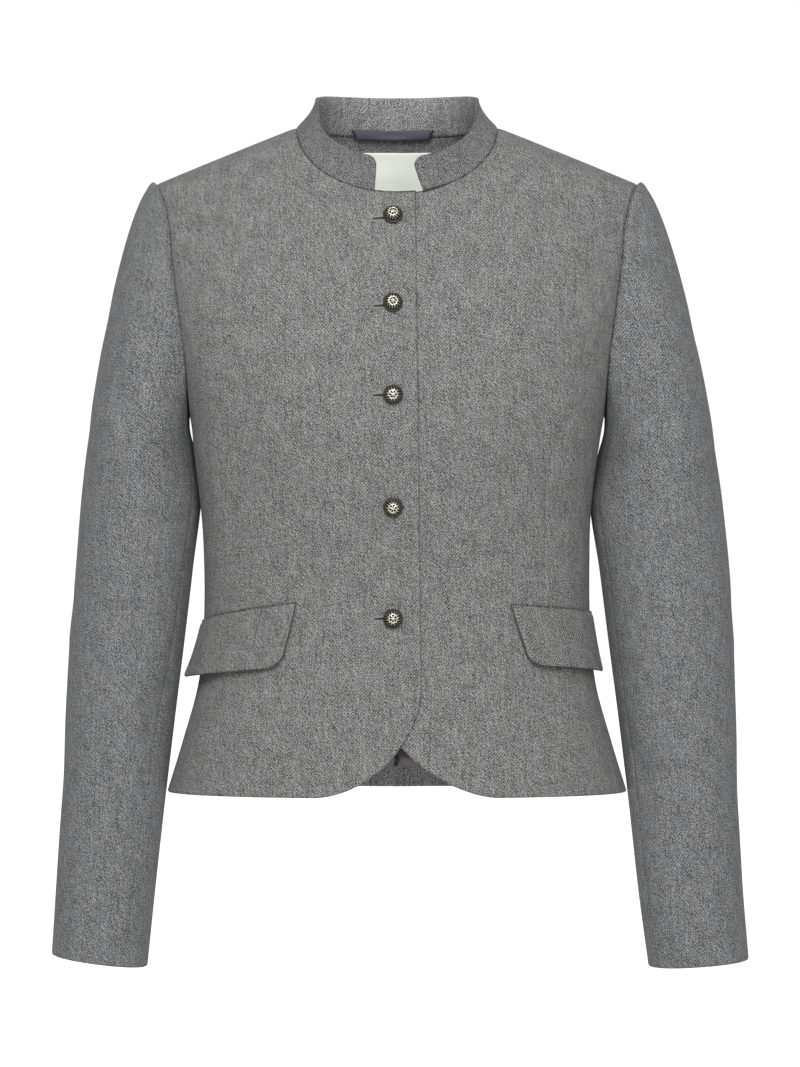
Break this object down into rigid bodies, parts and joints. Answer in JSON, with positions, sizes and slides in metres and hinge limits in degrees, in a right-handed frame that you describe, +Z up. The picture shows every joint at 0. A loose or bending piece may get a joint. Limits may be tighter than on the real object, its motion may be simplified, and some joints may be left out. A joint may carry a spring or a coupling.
{
  "type": "tyrolean loden jacket",
  "caption": "Short fitted stand-collar wool jacket with set-in sleeves, slanted pocket flaps, curved front hem and domed metal buttons, filled out as if worn.",
  "frame": {"origin": "midway between the two points where the collar meets the shoulder seams, on the line where the wearer's shoulders hold the jacket", "axes": "+X to the wearer's left, +Y to the back, +Z up; the front faces -Y"},
  "size_m": [0.5534, 0.2421, 0.6963],
  "materials": {
    "loden": "matte grey wool melange, fine twill with a light nap",
    "ribbon": "dark navy woven ribbon",
    "label": "ivory woven satin, bare",
    "satin": "dark plum lining satin",
    "old_silver": "antique silver, dark in the hollows"
  },
  "bodies": {
    "root": {"front_right": "loden", "front_left": "loden", "back": "loden", "sleeve_upper_right": "loden", "sleeve_under_right": "loden", "sleeve_upper_left": "loden", "sleeve_under_left": "loden", "collar": "loden", "pocket_flap_right": "loden", "pocket_flap_left": "loden", "button_1": "old_silver", "button_2": "old_silver", "button_3": "old_silver", "button_4": "old_silver", "button_5": "old_silver", "hanger_loop": "ribbon", "neck_label": "label", "back_lining": "satin"}
  },
  "joints": []
}
